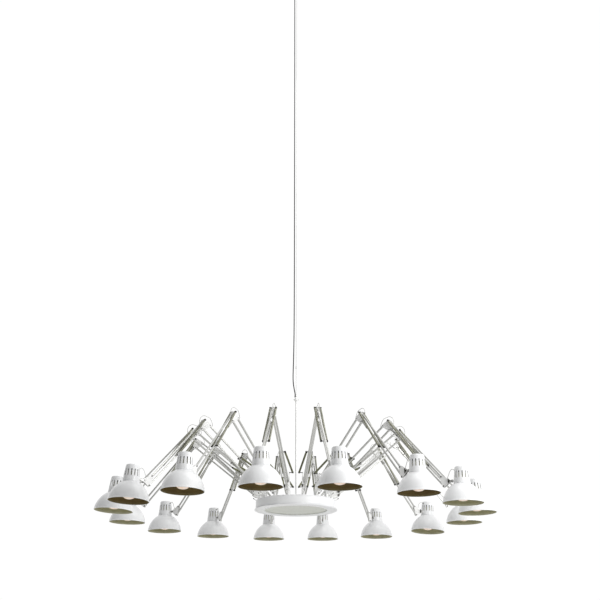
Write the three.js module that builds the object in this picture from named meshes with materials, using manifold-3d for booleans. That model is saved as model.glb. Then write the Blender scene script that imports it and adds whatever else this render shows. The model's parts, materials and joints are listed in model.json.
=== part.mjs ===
// A ceiling chandelier of sixteen adjustable desk-lamp arms around one hanging drum.
// Millimetres, +Z up. The origin is the middle of the face that meets the ceiling.
// Heights inside the lamp are counted from the plane of the shade mouths, DROP below it.

import * as THREE from 'three';
import { mergeVertices } from 'three/addons/utils/BufferGeometryUtils.js';
import Module from 'manifold-3d';

// ---------------------------------------------------------------- driving sizes

const DROP = 4200;              // ceiling to the plane of the shade mouths
const CLEARANCE = 0.6;          // free gap beside every turning piece
const SEAT = 0.3;               // gap between two pieces that rest on each other
const SINK = 1;                 // how far a joined part reaches into its neighbour
const ROUND_SIDES = 12;         // sides of the larger turned parts
const SMALL_SIDES = 8;          // sides of the smaller ones

const ARM_COUNT = 16;
const FIRST_ARM_ANGLE = -168.75;        // degrees from +X, counter-clockwise

// How each arm is left standing: swing of its post, turn of its head's swivel and tilt of
// its shade, degrees.
const STANCE = [
  { swing: 3, turn: 0, tilt: 3 }, { swing: 0, turn: 0, tilt: 3 }, { swing: 1, turn: 20, tilt: 2 },
  { swing: 0, turn: 40, tilt: 0 }, { swing: -1, turn: 20, tilt: 0 }, { swing: 1.5, turn: 10, tilt: 0 },
  { swing: 1.5, turn: 0, tilt: -1 }, { swing: 0.5, turn: 0, tilt: 1 }, { swing: -1, turn: 0, tilt: 0 },
  { swing: 0, turn: 0, tilt: -4 }, { swing: 2, turn: 0, tilt: -1 }, { swing: 1, turn: 0, tilt: 0 },
  { swing: -1, turn: 0, tilt: 0 }, { swing: -1, turn: 0, tilt: 0 }, { swing: -1, turn: 0, tilt: -1 },
  { swing: 0.5, turn: 0, tilt: 1 },
];

// drum
const DRUM_RADIUS = 247;
const DRUM_TOP = 100;
const DRUM_HEIGHT = 52;
const DRUM_WALL = 3;
const LIP_PROUD = 8;            // lower flange beyond the drum wall
const LIP_THICKNESS = 4;
const COVER_RADIUS = 192;
const COVER_RECESS = 4;
const COVER_THICKNESS = 3;
const CARRIER_THICKNESS = 5;
const DRUM_SIDES = 40;

// arm foot
const POST_INSET = 22;          // post centre inward of the drum's edge
const POST_RADIUS = 7;
const POST_HEIGHT = 22;
const FORK_FLOOR = 4;
const CHEEK_EDGE = 9;           // cheek plates beyond the pivots they carry
const CHEEK_TIP = 5;            // and round the spring hooks
const PIVOT_OUT = 44;           // shoulder pivot outward of the post
const PIVOT_RISE = 48;          // shoulder pivot above the drum top
const FORK_PLATE = 3;
const HOOK_OUT = 18;            // spring hooks outward of the post
const HOOK_RISE = 129;          // spring hooks above the drum top
const HOOK_REACH = 32;          // half length between the hook tips
const HOOK_SIDES = 4;

// lower arm: a frame of two bars, closed at its foot and at the elbow
const LOWER_LENGTH = 500;
const LOWER_ANGLE = 38.5;
const LOWER_GAP = 50;           // pivot to pivot across the two bars
const LOWER_GAP_ANGLE = 145;
const LOWER_WIDTH = 10;
const FRAME_EDGE = 6;           // from a bar's pivot line to the frame's outer edge
const FRAME_INSET = 5;          // from a bar's pivot line to the slot between the bars
const FRAME_WEB = 12;           // from a pivot to the end of the slot

// elbow
const ELBOW_RISE = 54;          // elbow pin above the outer bar's end
const LINK_PLATE = 2;
const LINK_EDGE = 7;
const LINK_START = 56;          // elbow pin to the start of the upper frame

// upper arm
const UPPER_LENGTH = 476;       // elbow pin to the head's upper corner
const UPPER_ANGLE = -49.7;
const UPPER_GAP = 54.6;
const UPPER_GAP_ANGLE = -76.2;
const UPPER_WIDTH = 8;

// head
const HEAD_REACH = 54.7;
const HEAD_ANGLE = -31;
const FORK_EAR = 2;
const EAR_HALF_HEIGHT = 5;
const EAR_LENGTH = 18;          // head pin to the end of the shade's fork
const FORK_ROOT = 4;
const SWIVEL_RADIUS = 5.5;
const SWIVEL_HALF_HEIGHT = 8;
const SHADE_REACH = 73;         // head pin to the shade's axis
const SHADE_DROP = 122;         // head pin to the shade's mouth
const STEM_RADIUS = 4;

// pins
const PIN_RADIUS = 3;
const PIN_PLAY = 1.2;           // hole round a pin, beyond the pin's radius
const PIN_SIDES = 6;
const CORNER_STEP = 1.2;        // largest turn between two points of a rounded corner, radians
const PIN_END = 2;              // pin end beyond the plate it passes
const KNOB_RADIUS = 8;
const KNOB_LENGTH = 9;

// shade
const SHADE_RADIUS = 112.5;
const SHADE_WALL = 2;
const DOME_ARC_RADIUS = 132;
const DOME_LEAN = 6;            // dome wall from upright at the mouth, degrees
const NECK_BASE_RADIUS = 47;
const NECK_TOP_RADIUS = 37;
const NECK_HEIGHT = 95;
const SHADE_SIDES = 12;
const DOME_STEPS = 3;

// hanging parts
const ROD_RADIUS = 5;
const ROD_TOP = 738;
const ROD_THREAD = 12;          // rod end below the carrier
const NUT_RADIUS = 11;
const NUT_HEIGHT = 8;
const NUT_SIDES = 6;
const COLLAR_RADIUS = 9;
const COLLAR_HEIGHT = 14;
const FITTING_RADIUS = 10;
const FITTING_HEIGHT = 26;
const EYE_RADIUS = 8;
const EYE_WIRE = 2;
const CORD_SOCKET_RADIUS = 4.5;
const WIRE_RADIUS = 1;
const WIRE_SIDES = 6;
const GRIPPER_HEIGHT = 963;      // above the shade mouths
const GRIPPER_RADIUS = 3;
const GRIPPER_LENGTH = 16;
const CORD_RADIUS = 3.5;
const CORD_SIDES = 8;
const CORD_STEPS = 44;
const CANOPY_RADIUS = 60;
const CANOPY_DEPTH = 32;
const CANOPY_WALL = 2;
const CANOPY_EDGE = 4;
const CANOPY_FILLET = 3;
const CEILING_SIDES = 24;
const CEILING_PLATE_RADIUS = 45;
const CEILING_PLATE_THICKNESS = 4;
const HOOK_STUD_RADIUS = 4;
const HOOK_STUD_DEPTH = 58;     // ceiling to the stud's lower end
const STUD_FLANGE_RADIUS = 8;
const STUD_FLANGE_HEIGHT = 6;
const STUD_END_RADIUS = 7;
const STUD_END_HEIGHT = 12;
const GLAND_RADIUS = 7;
const GLAND_THREAD_RADIUS = 5;
const GLAND_THREAD_HEIGHT = 8;
const GLAND_COLLAR_HEIGHT = 8;
const BOX_SIZE = [90, 60, 28];

// Cord route from its gland down beside the wire and into the rod's top fitting:
// [x, y, height above the shade mouths].
const CORD_ROUTE = [
  [-17, 0, 4143], [-17, 0, 4120], [-16.5, 0, 4000], [-16, -1, 3700], [-15.5, -1, 3400],
  [-15, -1, 3000], [-14.5, -2, 2600], [-14, -2, 2200], [-13.5, -2, 1800], [-13.5, -2, 1500],
  [-14, -2, 1300], [-15, -2, 1150], [-17, -2, 1030], [-19, -2, 950], [-20, -2, 900],
  [-19, -2, 868], [-16.5, -1, 842], [-12.5, -1, 818], [-8.5, 0, 798], [-6.3, 0, 781], [-6, 0, 768],
];

// ---------------------------------------------------------------- helpers

const wasm = await Module();
wasm.setup();

const radians = THREE.MathUtils.degToRad;
const at = (x, z) => new THREE.Vector2(x, z);
const polar = (length, degrees) => at(length * Math.cos(radians(degrees)), length * Math.sin(radians(degrees)));
const plus = (a, b) => a.clone().add(b);

function solidOf(geometry) {
  const bare = geometry.clone();
  bare.deleteAttribute('normal');
  bare.deleteAttribute('uv');
  const merged = mergeVertices(bare, 1e-3);
  return new wasm.Manifold(new wasm.Mesh({
    numProp: 3,
    vertProperties: Float32Array.from(merged.attributes.position.array),
    triVerts: Uint32Array.from(merged.index.array),
  }));
}

function geometryOf(solid) {
  const mesh = solid.getMesh();
  const geometry = new THREE.BufferGeometry();
  geometry.setAttribute('position', new THREE.BufferAttribute(new Float32Array(mesh.vertProperties), 3));
  geometry.setIndex(new THREE.BufferAttribute(new Uint32Array(mesh.triVerts), 1));
  geometry.computeVertexNormals();
  return geometry;
}

function join(geometries) {
  return geometries.map(solidOf).reduce((whole, piece) => whole.add(piece));
}

function cut(solid, geometries) {
  return geometries.map(solidOf).reduce((whole, piece) => whole.subtract(piece), solid);
}

// Outline round corner points (counter-clockwise) at a set distance. Outward corners are
// rounded and inward ones stay sharp.
function outline(corners, edge) {
  const points = [];
  corners.forEach((corner, index) => {
    const before = corners[(index + corners.length - 1) % corners.length];
    const after = corners[(index + 1) % corners.length];
    const arrive = corner.clone().sub(before).angle() - Math.PI / 2;
    const leave = after.clone().sub(corner).angle() - Math.PI / 2;
    const turn = THREE.MathUtils.euclideanModulo(leave - arrive, 2 * Math.PI);
    if (turn > Math.PI) {
      const middle = (arrive + leave) / 2;
      const reach = edge / Math.cos((leave - arrive) / 2);
      points.push(at(corner.x + reach * Math.cos(middle), corner.y + reach * Math.sin(middle)));
      return;
    }
    const steps = Math.ceil(turn / CORNER_STEP);
    for (let step = 0; step <= steps; step += 1) {
      const angle = arrive + (turn * step) / steps;
      points.push(at(corner.x + edge * Math.cos(angle), corner.y + edge * Math.sin(angle)));
    }
  });
  return points;
}

function roundHole(centre) {
  const points = [];
  for (let side = 0; side < PIN_SIDES; side += 1) {
    points.push(plus(centre, polar(PIN_RADIUS + PIN_PLAY, (360 * side) / PIN_SIDES)));
  }
  return points;
}

// The slot between two parallel bars: one runs from start to end, the other a gap away.
function slotBetween(start, end, gap) {
  const along = end.clone().sub(start).setLength(FRAME_WEB);
  const across = gap.clone().setLength(FRAME_INSET);
  return [
    plus(start, along).add(across),
    end.clone().sub(along).add(across),
    end.clone().sub(along).add(gap).sub(across),
    plus(start, along).add(gap).sub(across),
  ];
}

// A flat plate in the arm's upright plane, from y = from to y = to.
function plate(points, from, to, holes = []) {
  const shape = new THREE.Shape(points);
  shape.holes = holes.map((hole) => new THREE.Path(hole));
  const geometry = new THREE.ExtrudeGeometry(shape, { depth: to - from, bevelEnabled: false });
  return geometry.rotateX(Math.PI / 2).translate(0, to, 0);
}

function platePair(points, inner, thickness, holes = []) {
  return [
    plate(points, inner, inner + thickness, holes),
    plate(points, -inner - thickness, -inner, holes),
  ];
}

// A pin across the arm's upright plane.
function crossPin(centre, from, to, radius = PIN_RADIUS, sides = PIN_SIDES) {
  const geometry = new THREE.CylinderGeometry(radius, radius, to - from, sides);
  return geometry.rotateY(Math.PI / 2).translate(centre.x, (from + to) / 2, centre.y);
}

function upright(radius, bottom, top, sides, x = 0, y = 0) {
  const geometry = new THREE.CylinderGeometry(radius, radius, top - bottom, sides);
  return geometry.rotateX(Math.PI / 2).translate(x, y, (bottom + top) / 2);
}

function lathe(profile, sides) {
  return new THREE.LatheGeometry(profile, sides).rotateX(Math.PI / 2);
}

function finish(colour, roughness, metalness) {
  return new THREE.MeshStandardMaterial({ color: colour, roughness, metalness });
}

const whitePaint = finish(0xf2f2f0, 0.35, 0);
const armPaint = finish(0xe9e9e6, 0.4, 0);
const steel = finish(0xb9bbb8, 0.3, 0.9);
const coverGloss = finish(0xd9dbcf, 0.12, 0);
const blackCable = finish(0x1c1c1c, 0.6, 0);
const greyPlastic = finish(0xc8c8c4, 0.5, 0);

function named(name, shape, material) {
  const geometry = shape instanceof THREE.BufferGeometry ? shape : geometryOf(shape);
  const mesh = new THREE.Mesh(geometry, material);
  mesh.name = name;
  return mesh;
}

// ---------------------------------------------------------------- pivots of one arm

// x is outward from the arm's post and the second value is height above the shade mouths.
const shoulder = at(PIVOT_OUT, DRUM_TOP + PIVOT_RISE);
const lowerGap = polar(LOWER_GAP, LOWER_GAP_ANGLE);
const shoulderInner = plus(shoulder, lowerGap);
const elbowOuter = plus(shoulder, polar(LOWER_LENGTH, LOWER_ANGLE));
const elbowInner = plus(elbowOuter, lowerGap);
const elbowPin = plus(elbowOuter, at(0, ELBOW_RISE));
const upperGap = polar(UPPER_GAP, UPPER_GAP_ANGLE);
const upperStart = plus(elbowPin, polar(LINK_START, UPPER_ANGLE));
const upperStartLow = plus(upperStart, upperGap);
const headTop = plus(elbowPin, polar(UPPER_LENGTH, UPPER_ANGLE));
const headLow = plus(headTop, upperGap);
const headPin = plus(headTop, polar(HEAD_REACH, HEAD_ANGLE));

// layers across the arm, half widths counted from its middle
const forkInner = LOWER_WIDTH / 2 + CLEARANCE;
const forkOuter = forkInner + FORK_PLATE;
const linkInner = LOWER_WIDTH / 2 + CLEARANCE;
const linkOuter = linkInner + LINK_PLATE;
const earInner = UPPER_WIDTH / 2 + CLEARANCE;
const earOuter = earInner + FORK_EAR;

// ---------------------------------------------------------------- arm pieces

function lowerArm() {
  const knobFrom = forkOuter + CLEARANCE;
  const corners = [shoulder, elbowOuter, elbowPin, elbowInner, shoulderInner];
  const holes = [slotBetween(shoulder, elbowOuter, lowerGap), roundHole(elbowPin)];
  return join([
    plate(outline(corners, FRAME_EDGE), -LOWER_WIDTH / 2, LOWER_WIDTH / 2, holes),
    crossPin(shoulder, -forkOuter - PIN_END, knobFrom + SINK),
    crossPin(shoulder, knobFrom, knobFrom + KNOB_LENGTH, KNOB_RADIUS),
  ]);
}

function upperArm() {
  const corners = [upperStart, upperStartLow, headLow, headPin, headTop];
  const holes = [slotBetween(upperStart, headTop, upperGap), roundHole(headPin)];
  const linkRoot = upperStart.clone().lerp(upperStartLow, 0.5);
  return join([
    plate(outline(corners, FRAME_EDGE), -UPPER_WIDTH / 2, UPPER_WIDTH / 2, holes),
    plate(outline([upperStart, upperStartLow], LINK_EDGE), -linkOuter, linkOuter),
    ...platePair(outline([elbowPin, linkRoot], LINK_EDGE), linkInner, LINK_PLATE),
    crossPin(elbowPin, -linkOuter - PIN_END, linkOuter + PIN_END),
  ]);
}

// ---------------------------------------------------------------- shade

// One wall of the dome from mouth to neck, an arc about the dome's centre of curvature.
function domeWall(radius, neckRadius) {
  const centre = at(
    SHADE_RADIUS - DOME_ARC_RADIUS * Math.cos(radians(DOME_LEAN)),
    -DOME_ARC_RADIUS * Math.sin(radians(DOME_LEAN)),
  );
  const start = Math.asin(-centre.y / radius);
  const end = Math.acos((neckRadius - centre.x) / radius);
  const points = [];
  for (let step = 0; step <= DOME_STEPS; step += 1) {
    const angle = start + ((end - start) * step) / DOME_STEPS;
    points.push(at(centre.x + radius * Math.cos(angle), centre.y + radius * Math.sin(angle)));
  }
  return points;
}

const outerDome = domeWall(DOME_ARC_RADIUS, NECK_BASE_RADIUS);
const innerDome = domeWall(DOME_ARC_RADIUS - SHADE_WALL, NECK_BASE_RADIUS - SHADE_WALL);
const neckBaseHeight = outerDome[DOME_STEPS].y;

function shadeProfile() {
  const top = neckBaseHeight + NECK_HEIGHT;
  return [
    at(0, top - SHADE_WALL),
    at(NECK_TOP_RADIUS - SHADE_WALL, top - SHADE_WALL),
    ...innerDome.toReversed(),
    ...outerDome,
    at(NECK_TOP_RADIUS, top),
    at(0, top),
  ];
}

// The shade about its head pin, with the fork, swivel and stem that carry it. The stem and
// shade are turned about the upright swivel at the fork's root.
function shadeWithStem(turn) {
  const swivelOut = EAR_LENGTH - FORK_ROOT / 2;
  const turned = (geometry) => geometry
    .translate(-swivelOut, 0, 0).rotateZ(radians(turn)).translate(swivelOut, 0, 0);
  const body = lathe(shadeProfile(), SHADE_SIDES).translate(SHADE_REACH, 0, -SHADE_DROP);
  const taper = (NECK_BASE_RADIUS - NECK_TOP_RADIUS) / NECK_HEIGHT;
  const neckAtStem = NECK_BASE_RADIUS - taper * (SHADE_DROP - neckBaseHeight);
  const wallFace = SHADE_REACH - neckAtStem * Math.cos(Math.PI / SHADE_SIDES);
  const stem = upright(STEM_RADIUS, swivelOut, wallFace + SHADE_WALL / 2, PIN_SIDES);
  stem.rotateY(Math.PI / 2);
  const swivel = upright(SWIVEL_RADIUS, -SWIVEL_HALF_HEIGHT, SWIVEL_HALF_HEIGHT, SMALL_SIDES, swivelOut);
  const fork = new THREE.Shape([
    at(-EAR_HALF_HEIGHT, -earOuter), at(EAR_LENGTH, -earOuter),
    at(EAR_LENGTH, earOuter), at(-EAR_HALF_HEIGHT, earOuter),
    at(-EAR_HALF_HEIGHT, earInner), at(EAR_LENGTH - FORK_ROOT, earInner),
    at(EAR_LENGTH - FORK_ROOT, -earInner), at(-EAR_HALF_HEIGHT, -earInner),
  ]);
  const ears = new THREE.ExtrudeGeometry(fork, { depth: 2 * EAR_HALF_HEIGHT, bevelEnabled: false });
  ears.translate(0, 0, -EAR_HALF_HEIGHT);
  const pin = crossPin(at(0, 0), -earOuter - PIN_END, earOuter + PIN_END);
  return join([turned(body), turned(stem), swivel, ears, pin]);
}

// ---------------------------------------------------------------- arm foot

// Post, fork and spring hooks of one arm, in the arm's own frame.
function armFoot() {
  const floor = DRUM_TOP + POST_HEIGHT;
  const hook = at(HOOK_OUT, DRUM_TOP + HOOK_RISE);
  const innerEdge = shoulderInner.x - CHEEK_EDGE;
  const outerEdge = shoulder.x + CHEEK_EDGE;
  const cheek = [
    at(innerEdge, floor), at(outerEdge, floor), at(outerEdge, shoulder.y + POST_RADIUS),
    at(hook.x + CHEEK_TIP, hook.y + CHEEK_TIP), at(hook.x - CHEEK_TIP, hook.y + CHEEK_TIP),
    at(innerEdge, shoulderInner.y),
  ];
  const floorPlate = new THREE.BoxGeometry(outerEdge - innerEdge, 2 * forkOuter, FORK_FLOOR);
  floorPlate.translate((innerEdge + outerEdge) / 2, 0, floor + FORK_FLOOR / 2);
  return [
    upright(POST_RADIUS, DRUM_TOP - SINK, floor + SINK, PIN_SIDES),
    floorPlate,
    ...platePair(cheek, forkInner, FORK_PLATE, [roundHole(shoulder)]),
    crossPin(hook, forkOuter - SINK, HOOK_REACH, PIN_RADIUS, HOOK_SIDES),
    crossPin(hook, -HOOK_REACH, -forkOuter + SINK, PIN_RADIUS, HOOK_SIDES),
  ];
}

function armFrame(index) {
  const angle = radians(FIRST_ARM_ANGLE + (360 / ARM_COUNT) * index);
  const frame = new THREE.Group();
  const circle = DRUM_RADIUS - POST_INSET;
  frame.position.set(circle * Math.cos(angle), circle * Math.sin(angle), 0);
  frame.rotation.z = angle + radians(STANCE[index].swing);
  frame.updateMatrix();
  return frame;
}

// ---------------------------------------------------------------- drum

function drumHousing() {
  const bottom = DRUM_TOP - CARRIER_THICKNESS - SEAT - DRUM_HEIGHT;
  const top = bottom + DRUM_HEIGHT;
  const lip = DRUM_RADIUS + LIP_PROUD;
  return lathe([
    at(COVER_RADIUS + SEAT, bottom), at(lip, bottom), at(lip, bottom + LIP_THICKNESS),
    at(DRUM_RADIUS, bottom + LIP_THICKNESS), at(DRUM_RADIUS, top), at(DRUM_RADIUS - DRUM_WALL, top),
    at(DRUM_RADIUS - DRUM_WALL, bottom + LIP_THICKNESS + DRUM_WALL),
    at(COVER_RADIUS + SEAT, bottom + LIP_THICKNESS + DRUM_WALL), at(COVER_RADIUS + SEAT, bottom),
  ], DRUM_SIDES);
}

function bottomCover() {
  const bottom = DRUM_TOP - CARRIER_THICKNESS - SEAT - DRUM_HEIGHT + COVER_RECESS;
  return upright(COVER_RADIUS - SEAT, bottom, bottom + COVER_THICKNESS, DRUM_SIDES);
}

function armCarrier() {
  const disc = upright(DRUM_RADIUS, DRUM_TOP - CARRIER_THICKNESS, DRUM_TOP, DRUM_SIDES);
  const pieces = [disc];
  for (let index = 0; index < ARM_COUNT; index += 1) {
    const frame = armFrame(index);
    pieces.push(...armFoot().map((piece) => piece.applyMatrix4(frame.matrix)));
  }
  const below = DRUM_TOP - CARRIER_THICKNESS - SINK;
  return cut(join(pieces), [upright(ROD_RADIUS + SEAT, below, DRUM_TOP + SINK, ROUND_SIDES)]);
}

function terminalBox() {
  const top = DRUM_TOP - CARRIER_THICKNESS - SEAT;
  const [length, width, height] = BOX_SIZE;
  const box = new THREE.BoxGeometry(length, width, height);
  return box.translate(0, width, top - height / 2);
}

// ---------------------------------------------------------------- hanging parts

function stemRod() {
  const nutTop = DRUM_TOP - CARRIER_THICKNESS - SEAT;
  const collarFrom = DRUM_TOP + SEAT;
  return join([
    upright(ROD_RADIUS, nutTop - ROD_THREAD, ROD_TOP, ROUND_SIDES),
    upright(NUT_RADIUS, nutTop - NUT_HEIGHT, nutTop, NUT_SIDES),
    upright(COLLAR_RADIUS, collarFrom, collarFrom + COLLAR_HEIGHT, ROUND_SIDES),
  ]);
}

function topFitting() {
  const top = ROD_TOP + SEAT + FITTING_HEIGHT;
  const eye = new THREE.TorusGeometry(EYE_RADIUS, EYE_WIRE, WIRE_SIDES, ROUND_SIDES);
  eye.rotateY(Math.PI / 2).translate(0, 0, top + EYE_RADIUS + EYE_WIRE - SINK);
  const [cordX, cordY, cordEnd] = CORD_ROUTE[CORD_ROUTE.length - 1];
  return join([
    upright(FITTING_RADIUS, ROD_TOP + SEAT, top, ROUND_SIDES),
    eye,
    upright(CORD_SOCKET_RADIUS, top - SINK, cordEnd - SEAT, CORD_SIDES, cordX, cordY),
  ]);
}

const eyeTop = ROD_TOP + SEAT + FITTING_HEIGHT + 2 * (EYE_RADIUS + EYE_WIRE) - SINK;
const hookBottom = DROP - HOOK_STUD_DEPTH;

function suspensionWire() {
  return upright(WIRE_RADIUS, eyeTop + SEAT, hookBottom - SEAT, WIRE_SIDES);
}

// A crimped sleeve round the wire.
function wireGripper() {
  const bottom = GRIPPER_HEIGHT - GRIPPER_LENGTH / 2;
  const top = GRIPPER_HEIGHT + GRIPPER_LENGTH / 2;
  const bore = WIRE_RADIUS + SEAT;
  return lathe([
    at(bore, bottom), at(GRIPPER_RADIUS, bottom), at(GRIPPER_RADIUS, top), at(bore, top), at(bore, bottom),
  ], SMALL_SIDES);
}

function powerCord() {
  const points = CORD_ROUTE.map(([x, y, z]) => new THREE.Vector3(x, y, z));
  const section = new THREE.Shape();
  for (let side = 0; side < CORD_SIDES; side += 1) {
    const angle = (2 * Math.PI * side) / CORD_SIDES;
    const x = CORD_RADIUS * Math.cos(angle);
    const y = CORD_RADIUS * Math.sin(angle);
    if (side === 0) section.moveTo(x, y);
    else section.lineTo(x, y);
  }
  return new THREE.ExtrudeGeometry(section, {
    steps: CORD_STEPS,
    extrudePath: new THREE.CatmullRomCurve3(points, false, 'centripetal'),
  });
}

// The plate that is screwed to the ceiling, with the stud that the wire hangs from.
function ceilingPlate() {
  const underside = DROP - CEILING_PLATE_THICKNESS;
  return join([
    upright(CEILING_PLATE_RADIUS, underside, DROP, CEILING_SIDES),
    upright(HOOK_STUD_RADIUS, hookBottom, underside + SINK, SMALL_SIDES),
    upright(STUD_FLANGE_RADIUS, underside - STUD_FLANGE_HEIGHT, underside + SINK, SMALL_SIDES),
    upright(STUD_END_RADIUS, hookBottom, hookBottom + STUD_END_HEIGHT, SMALL_SIDES),
  ]);
}

function ceilingCanopy() {
  const bottom = DROP - CANOPY_DEPTH;
  const inner = CANOPY_RADIUS - CANOPY_WALL;
  const hole = HOOK_STUD_RADIUS + CLEARANCE;
  const cup = lathe([
    at(hole, bottom), at(CANOPY_RADIUS - CANOPY_EDGE, bottom), at(CANOPY_RADIUS, bottom + CANOPY_EDGE),
    at(CANOPY_RADIUS, DROP - SINK), at(inner, DROP - SINK), at(inner, bottom + CANOPY_WALL + CANOPY_FILLET),
    at(inner - CANOPY_FILLET, bottom + CANOPY_WALL), at(hole, bottom + CANOPY_WALL), at(hole, bottom),
  ], CEILING_SIDES);
  const [cordX, cordY] = CORD_ROUTE[0];
  const glandHole = GLAND_THREAD_RADIUS + CLEARANCE;
  const above = bottom + CANOPY_WALL + SINK;
  return cut(solidOf(cup), [upright(glandHole, bottom - SINK, above, SMALL_SIDES, cordX, cordY)]);
}

function cordGland() {
  const bottom = DROP - CANOPY_DEPTH;
  const [cordX, cordY, cordTop] = CORD_ROUTE[0];
  const collarTop = bottom - SEAT;
  const collarFoot = collarTop - GLAND_COLLAR_HEIGHT;
  return join([
    upright(GLAND_THREAD_RADIUS, collarTop - SINK, bottom + GLAND_THREAD_HEIGHT, SMALL_SIDES, cordX, cordY),
    upright(GLAND_RADIUS, collarFoot, collarTop, SMALL_SIDES, cordX, cordY),
    upright(GLAND_THREAD_RADIUS, cordTop + SEAT, collarFoot + SINK, SMALL_SIDES, cordX, cordY),
  ]);
}

// ---------------------------------------------------------------- assembly

const lamp = new THREE.Group();
lamp.position.z = -DROP;

const lowerArmShape = geometryOf(lowerArm());
const upperArmShape = geometryOf(upperArm());

for (let index = 0; index < ARM_COUNT; index += 1) {
  const label = String(index + 1).padStart(2, '0');
  const { turn, tilt } = STANCE[index];
  const frame = armFrame(index);
  const head = new THREE.Group();
  head.position.set(headPin.x, 0, headPin.y);
  head.rotation.y = -radians(tilt);
  head.add(named(`shade_${label}`, shadeWithStem(turn), whitePaint));
  frame.add(named(`lower_arm_${label}`, lowerArmShape, armPaint));
  frame.add(named(`upper_arm_${label}`, upperArmShape, armPaint));
  frame.add(head);
  lamp.add(frame);
}

lamp.add(
  named('arm_carrier', armCarrier(), whitePaint),
  named('drum_housing', drumHousing(), whitePaint),
  named('bottom_cover', bottomCover(), coverGloss),
  named('terminal_box', terminalBox(), greyPlastic),
  named('stem_rod', stemRod(), armPaint),
  named('top_fitting', topFitting(), steel),
  named('suspension_wire', suspensionWire(), steel),
  named('wire_gripper', wireGripper(), steel),
  named('power_cord', powerCord(), blackCable),
  named('ceiling_plate', ceilingPlate(), steel),
  named('ceiling_canopy', ceilingCanopy(), whitePaint),
  named('cord_gland', cordGland(), greyPlastic),
);

export default lamp;
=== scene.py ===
"""The looks of a sixteen-arm ceiling chandelier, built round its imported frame.

Metres, +Z up, in the frame's own axes. Each arm is drawn once in its own local frame:
the origin is the shoulder pivot, x runs outward, y across the arm and z up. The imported
record's joints then say where each of the sixteen copies stands.
"""

import json
import math

import bmesh
import bpy
from mathutils import Matrix, Vector


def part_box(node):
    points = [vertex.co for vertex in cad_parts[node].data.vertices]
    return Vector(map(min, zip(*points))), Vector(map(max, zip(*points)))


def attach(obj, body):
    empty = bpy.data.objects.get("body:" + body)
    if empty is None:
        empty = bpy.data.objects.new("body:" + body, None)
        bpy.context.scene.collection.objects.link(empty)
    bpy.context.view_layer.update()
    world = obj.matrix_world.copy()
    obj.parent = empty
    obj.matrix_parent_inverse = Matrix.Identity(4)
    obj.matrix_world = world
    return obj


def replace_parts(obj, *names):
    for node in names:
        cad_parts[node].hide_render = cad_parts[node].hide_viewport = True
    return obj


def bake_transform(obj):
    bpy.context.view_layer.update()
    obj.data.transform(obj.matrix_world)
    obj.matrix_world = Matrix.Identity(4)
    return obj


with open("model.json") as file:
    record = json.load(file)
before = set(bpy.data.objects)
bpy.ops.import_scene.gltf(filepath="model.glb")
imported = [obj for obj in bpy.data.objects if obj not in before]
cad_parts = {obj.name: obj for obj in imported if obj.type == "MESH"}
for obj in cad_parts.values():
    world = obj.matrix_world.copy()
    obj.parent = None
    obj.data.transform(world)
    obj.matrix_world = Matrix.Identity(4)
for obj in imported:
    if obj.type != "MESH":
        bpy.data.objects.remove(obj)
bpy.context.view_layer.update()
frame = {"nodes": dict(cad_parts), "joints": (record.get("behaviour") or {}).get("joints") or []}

MM = 0.001
LABELS = [f"{number:02d}" for number in range(1, 17)]

# ---------------------------------------------------------------- sizes, millimetres

# arm, as in the frame
BAR_LOWER = 10
BAR_UPPER = 9
LOWER_GAP, LOWER_GAP_ANGLE = 50, 145
UPPER_GAP, UPPER_GAP_ANGLE = 54.6, -76.2
LOWER_ANGLE, UPPER_ANGLE = 38.5, -49.7
ELBOW_RISE = 54                 # elbow pin above the lower outer bar's pivot
HEAD_REACH, HEAD_ANGLE = 54.7, -31
ELBOW_PLATE = (5.3, 6.9)        # inner and outer face from the arm's middle plane
LINK_PLATE = (7.4, 9.0)
HEAD_PLATE = (4.8, 6.4)
BAR_START = 56                  # elbow to the first full section of the upper low bar
PLATE_EDGE = 8                  # elbow and head plates beyond the pivots they carry
BOLT_RADIUS = 4.4
KNOB_RADIUS, KNOB_LENGTH = 7.6, 9
CABLE_LANDING_OUT = 34          # elbow to where the lamp cable lies down on the upper bar

# foot
POST_OUT = -44                  # post axis from the shoulder pivot
POST_RADIUS = 7
DRUM_TOP_DROP = -48             # drum top from the shoulder pivot
FOOT_FLOOR = -26
FORK_FACES = (5.6, 8.6)
HOOK = (-26, 81)                # spring hooks from the shoulder pivot
HOOK_SPREAD = 28.5

# springs
SPRING_RADIUS = 6.3
SPRING_WIRE = 1.1
SPRING_PITCH = 2.5
SPRING_STEPS = 8                # points in one turn
SPRING_PIN = 2.2
SPRING_EYE = 8                  # straight hook at each end of a spring
PIN_BARREL = 5.8
LOWER_SPRING_FOOT = 227         # along the inner bar from its pivot to the cross pin
LOWER_SPRING_SPREAD = 15.5
UPPER_SPRING_FOOT = 228         # along the upper low bar from its pivot
UPPER_SPRING_SPREAD = 16

# shade, from its mouth
SHADE_RADIUS = 112.5
SHADE_WALL = 1.6
DOME_ARC_RADIUS, DOME_LEAN = 132, 6
DOME_STEPS = 14
NECK_BASE_RADIUS, NECK_TOP_RADIUS = 47, 37
NECK_HEIGHT = 95
NECK_EDGE = 5
CROWN_RING = 12                 # the one ring of points on the neck's flat top
RIM_BEAD = 1.7
SEAM = 0.9
SLOTS = 14
SLOT_WIDTH = 5.5
SLOT_LENGTH = 38
SLOT_BELOW_TOP = 26
SHADE_AXIS_OUT, SHADE_MOUTH_DROP = 73, -122     # from the head pin
SWIVEL_OUT = 16                 # upright swivel that the shade turns on, from the head pin
NECK_BUSH = (35.5, 58)          # where the lamp cable enters the neck, from the head pin
BULB_RADIUS = 32.5
BULB_BOTTOM = 8.5
BULB_FLATNESS = 0.46            # depth of its face as a share of its radius
HOLDER_LENGTH = 92              # lampholder's mouth below the top of the neck
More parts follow.
